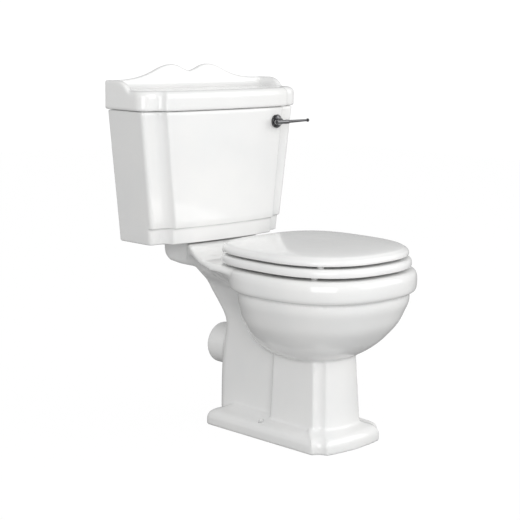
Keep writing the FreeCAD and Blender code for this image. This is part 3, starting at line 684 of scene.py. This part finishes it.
def smooth_path(points):
    """A path in the YZ plane from the first point to the last, with the corners between rounded off."""
    p = np.array(points, float)
    for _ in range(3):
        a = p[:-1]
        b = p[1:]
        cut = np.column_stack([a * 0.75 + b * 0.25, a * 0.25 + b * 0.75]).reshape(-1, 2)
        p = np.vstack([p[:1], cut, p[-1:]])
    return np.column_stack([np.zeros(len(p)), p])


def pan_tools():
    """Cutters for the waterways and the holes: the trap runs from the bowl's sump over the weir to the
    outlet, and the flush runs from the seal's recess through its channel to the rim."""
    trap = smooth_path([(BOWL_Y, 182), (-436, 120), (-412, 92), (-376, 96), (-340, 180), (-312, 216),
                        (-275, 212), (-240, 176), (-215, OUTLET_Z), (-120, OUTLET_Z)])
    tools = [tube("trap", trap, 36),
             turned("seal_recess", (0, BORE_Y, 405), UP, [(0, 50), (1, 51), (20, 51)]),
             turned("inlet", (0, BORE_Y, 385), UP, [(0, 14), (5, 24), (12, 30), (40, 30)]),
             tube("channel", [(0, -60, 391), (0, -180, 381), (0, -290, 371)], 15),
             skin("foot_hollow", [block_ring(51, -205, -395, z, 22) for z in (-5, 60, 120)])]
    for s in (-1, 1):
        nut_space = [block_ring(26, -42, -112, z, 8, 8) + [s * 62, 0, 0] for z in (350, 388, 396)]
        tools += [bore(s * BOLT_X, BORE_Y, 350, UP, 6.5, 90),
                  bore(s * HINGE_X, HINGE_Y, 360, UP, 7, 60),
                  turned("hinge_pocket", (s * HINGE_X, HINGE_Y, 342), UP,
                         [(0, 17), (3, 20), (31, 20), (34, 17)]),
                  turned("screw_hole", (s * FLOOR_SCREW_X, FLOOR_SCREW_Y, -4), UP,
                         [(0, 4.5), (10, 4.5), (13, 7.5), (60, 7.5)]),
                  skin("nut_space", nut_space)]
    return tools


def make_pan():
    """The casting is softened as a whole before its openings are cut, which keeps their edges crisp."""
    pan = join(bowl_and_rim(), shelf(), trapway(), pedestal(), plinth(), spigot())
    soften(pan, 3.0, 4)
    carve(pan, bowl_cavity(), *pan_tools())
    pan.name = "pan_shell"
    return shade(pan, 42)


# ================================================================ seat
SEAT_Y, SEAT_W, SEAT_REAR, SEAT_REAR_POWER = -438.0, 190.0, 190.0, 3.1
# The ring's outer edge from the bottom up (height, inset), and its hole's edge from the top down
# (height, how much wider than the hole).
RING_OUTER = ((406, 4.5), (406.5, 2.2), (408, 0.6), (411, 0), (416, 0.1), (420, 0.9), (422.6, 2.6),
              (424.2, 5), (424.9, 8.5), (425, 14))
RING_HOLE = ((424.4, 16), (423, 10), (420.5, 5), (417, 1.8), (413, 0.3), (409.5, 0.3), (407, 1.8),
             (406, 5))


def between(a, b):
    """Two rings evenly spaced between a and b."""
    return [(1 - t) * a + t * b for t in (0.33, 0.67)]


def make_ring():
    """The ring's section runs from the outer edge over the top to the hole and back underneath."""
    outer = [egg(SEAT_W, 205, SEAT_REAR, SEAT_Y, z, inset, rear_power=SEAT_REAR_POWER)
             for z, inset in RING_OUTER]
    hole = [egg(112, 133, 150, SEAT_Y, z, -grow, 2.2) for z, grow in RING_HOLE]
    rings = outer + between(outer[-1], hole[0]) + hole + between(hole[-1], outer[0])
    return shade(skin("seat_ring_moulding", rings, wrap=True), 60)


def make_cover():
    """The rings run from the middle of the hollow underneath over the rim to the crown."""
    def ring(z, inset):
        return egg(188, 193, 190, SEAT_Y - 2, z, inset, rear_power=SEAT_REAR_POWER)
    rim = [(430, 5), (430.3, 2.6), (431.4, 0.7), (434, 0), (438, 0.2), (441.2, 1.6), (444, 4.6),
           (446.2, 9)]
    dome = [(446.2 + 11.5 * math.sin(a), 9 + 160 * (1 - math.cos(a)))
            for a in np.linspace(0, math.pi / 2, 16)[1:]]
    under = [(440.5, 150), (440, 90), (438.5, 56), (436, 46), (433, 42), (430.6, 41), (430, 38)]
    rings = [ring(z, inset) for z, inset in under + rim + dome]
    return shade(skin("seat_cover_moulding", rings), 60)


def make_buffer(name, x, y, low, high):
    h = high - low
    profile = [(0, 0.02), (0, 6.4), (0.6, 7.2), (h * 0.5, 7.5), (h - 0.6, 7.2), (h, 6.4), (h, 0.02)]
    return shade(turned(name, (x, y, low), UP, profile), 50)


# ================================================================ lever
def make_lever():
    """A barrel across the bezel, a boss behind it, and a blade that ends in a small ball."""
    barrel_x, barrel_y, barrel_l, barrel_r = LEVER_X - 26, -170.0, 48.0, 5.2
    barrel = turned("lever_handle_cast", (barrel_x, barrel_y, LEVER_Z - 0.6), RIGHT,
                    [(0, 0.02), (0.2, 3.2), (1.2, 4.8), (3, 5.4), (6, barrel_r), (barrel_l - 8, barrel_r),
                     (barrel_l - 3, barrel_r), (barrel_l, 4.0)])
    boss = turned("boss", (LEVER_X, -157, LEVER_Z), FORWARDS,
                  [(0, 8), (2, 8.6), (6, 8.2), (10, 6.5), (12, 3)])
    start = np.array((barrel_x + barrel_l - 6, barrel_y, LEVER_Z - 0.4))
    tip = np.array((LEVER_X + 80, -177.0, LEVER_Z + 1.2))
    t = np.linspace(0, 1, 24)
    blade = tube("blade", start + (tip - start) * t[:, None], 3.9 - 1.2 * t)
    ball_r = 4.4
    axis = (tip - start) / np.linalg.norm(tip - start)
    ball_profile = [(ball_r * (1 - math.cos(a)), ball_r * math.sin(a))
                    for a in np.linspace(0.3, math.pi, 18)]
    ball = turned("ball", tip - axis * ball_r, axis, ball_profile)
    return shade(join(barrel, boss, blade, ball), 50)


def make_bezel():
    """A domed escutcheon with a thin rolled edge and a sleeve through the tank's wall."""
    r = 16.5
    bore_r = 5.2
    sleeve = [(-25, bore_r), (-25, 9.2), (0, 9.4)]
    edge = [(0, r - 1.6), (0.8, r - 0.4), (1.8, r), (2.8, r - 0.5), (3.6, r - 1.4)]
    dome = [(4.6, r - 3), (5.8, r - 5.4), (6.6, r - 7), (7.2, r - 8.5), (7.2, bore_r)]
    plate = turned("lever_bezel_plate", (LEVER_X, -148.8, LEVER_Z), FORWARDS, sleeve + edge + dome)
    return shade(plate, 30)


# ================================================================ build and place
# Each moulding's maker, material slot, body and CAD node.
PIECES = ((make_pan, "white_glaze", "root", "pan"),
          (make_tank, "white_glaze", "root", "cistern_tank"),
          (make_lid, "white_glaze", "cistern_lid", "cistern_lid"),
          (make_ring, "seat_gloss", "seat_ring", "seat_ring"),
          (make_cover, "seat_gloss", "seat_cover", "seat_cover"),
          (make_lever, "chrome", "flush_lever", "lever_handle"),
          (make_bezel, "chrome", "root", "lever_bezel"))
# Each set of four buffers: CAD node, body, (X, Y) of the right-hand ones, bottom and top.
BUFFERS = (("ring_buffers", "seat_ring", ((137, -557), (125, -330)), 400.1, 406.4),
           ("cover_buffers", "seat_cover", ((130, -568), (128, -335)), 424.6, 430.6))


def build():
    for make, slot, body, node in PIECES:
        place(make(), slot, body, node)
    for node, body, spots, low, high in BUFFERS:
        both_sides = [(s * x, y) for x, y in spots for s in (-1, 1)]
        for i, (x, y) in enumerate(both_sides):
            place(make_buffer(f"{node}_{i}", x, y, low, high), "white_buffer", body, node)


def finish_cad_nodes():
    """Gives every CAD node its material, and those that still show softly broken edges."""
    slots = {s["node"]: s["material_slot"] for s in frame["record"]["subparts"]}
    for name, node in frame["nodes"].items():
        node.data.materials.clear()
        node.data.materials.append(MATERIALS[slots[name]])
        if not node.hide_render:
            bevel = node.modifiers.new("edges", "BEVEL")
            bevel.width = 0.4 * MM
            bevel.segments = 2
            bevel.angle_limit = math.radians(40)
            bevel.use_clamp_overlap = True
            node.data.polygons.foreach_set("use_smooth", [True] * len(node.data.polygons))
            node.data.set_sharp_from_angle(angle=math.radians(35))


# ================================================================ floor, light and camera
def floor():
    """Mostly an even white where the camera sees it, and grey where the object mirrors it."""
    size = 6.0
    low = cad_low.z - 0.0005
    mesh = bpy.data.meshes.new("floor")
    mesh.from_pydata([(-size, -size, low), (size, -size, low), (size, size, low), (-size, size, low)], [],
                     [(0, 1, 2, 3)])
    plane = bpy.data.objects.new("floor", mesh)
    SCENE.collection.objects.link(plane)
    material, tree, shader = node_material("floor_white", (0.38, 0.38, 0.38), 0.8)
    tree.links.new(ramp(tree, noise(tree, 3.0), 0.75, 0.9), shader.inputs["Roughness"])
    white = tree.nodes.new("ShaderNodeEmission")
    seen = tree.nodes.new("ShaderNodeLightPath")
    share = tree.nodes.new("ShaderNodeMath")
    mix = tree.nodes.new("ShaderNodeMixShader")
    share.operation = "MULTIPLY"
    share.inputs[1].default_value = 0.88
    white.inputs["Strength"].default_value = 1.1
    tree.links.new(seen.outputs["Is Camera Ray"], share.inputs[0])
    tree.links.new(share.outputs[0], mix.inputs["Fac"])
    tree.links.new(shader.outputs["BSDF"], mix.inputs[1])
    tree.links.new(white.outputs["Emission"], mix.inputs[2])
    tree.links.new(mix.outputs["Shader"], tree.nodes["Material Output"].inputs["Surface"])
    plane.data.materials.append(material)


def area_light(name, where, width, height, power):
    """A soft panel that faces the middle of the object."""
    target = Vector((0, -0.1, 0.4))
    data = bpy.data.lights.new(name, "AREA")
    data.shape = "RECTANGLE"
    data.size = width
    data.size_y = height
    data.energy = power
    light = bpy.data.objects.new(name, data)
    light.location = Vector(where)
    light.rotation_euler = (target - Vector(where)).to_track_quat("-Z", "Y").to_euler()
    SCENE.collection.objects.link(light)


def world():
    """White where the camera sees it. What lights the object is a grey room, brighter towards the front
    and the left."""
    sky = bpy.data.worlds.new("studio")
    SCENE.world = sky
    sky.use_nodes = True
    tree = sky.node_tree
    back = tree.nodes["Background"]
    back.inputs["Color"].default_value = (1, 1, 1, 1)
    where = tree.nodes.new("ShaderNodeTexCoord")
    lean = tree.nodes.new("ShaderNodeVectorMath")
    lean.operation = "DOT_PRODUCT"
    lean.inputs[1].default_value = (-0.33, -0.7, 0.0)
    tree.links.new(where.outputs["Generated"], lean.inputs[0])
    tree.links.new(ramp(tree, lean.outputs["Value"], 0.46, 0.8, -0.6, 0.8), back.inputs["Strength"])
    white = tree.nodes.new("ShaderNodeBackground")
    white.inputs["Color"].default_value = (1, 1, 1, 1)
    white.inputs["Strength"].default_value = 1.05
    ray = tree.nodes.new("ShaderNodeLightPath")
    mix = tree.nodes.new("ShaderNodeMixShader")
    tree.links.new(ray.outputs["Is Camera Ray"], mix.inputs["Fac"])
    tree.links.new(back.outputs["Background"], mix.inputs[1])
    tree.links.new(white.outputs["Background"], mix.inputs[2])
    tree.links.new(mix.outputs["Shader"], tree.nodes["World Output"].inputs["Surface"])


def camera():
    """At the front left and a little above the lid, looking at the middle of the object."""
    azimuth = math.radians(-45.4)
    elevation = math.radians(9.6)
    roll = math.radians(0.9)
    distance = 3.3034
    target = Vector((-30.1, -288.4, 395.1)) * MM + Vector((0, WALL_Y, 0))
    back = Vector((math.sin(azimuth) * math.cos(elevation), -math.cos(azimuth) * math.cos(elevation),
                   math.sin(elevation)))
    data = bpy.data.cameras.new("camera")
    data.sensor_width = 36.0
    data.lens = 99.05
    eye = bpy.data.objects.new("camera", data)
    eye.location = target + back * distance
    right = Vector((math.cos(azimuth), math.sin(azimuth), 0))
    up = back.cross(right)
    right, up = (right * math.cos(roll) + up * math.sin(roll),
                 up * math.cos(roll) - right * math.sin(roll))
    eye.rotation_mode = "QUATERNION"
    matrix = [[right.x, up.x, back.x], [right.y, up.y, back.y], [right.z, up.z, back.z]]
    eye.rotation_quaternion = Matrix(matrix).to_quaternion()
    SCENE.collection.objects.link(eye)
    SCENE.camera = eye


build()
finish_cad_nodes()
floor()
world()
area_light("key", (2.3, -3.2, 2.0), 3.6, 3.0, 60)
area_light("fill", (-2.9, -2.9, 1.3), 3.0, 2.4, 64)
camera()
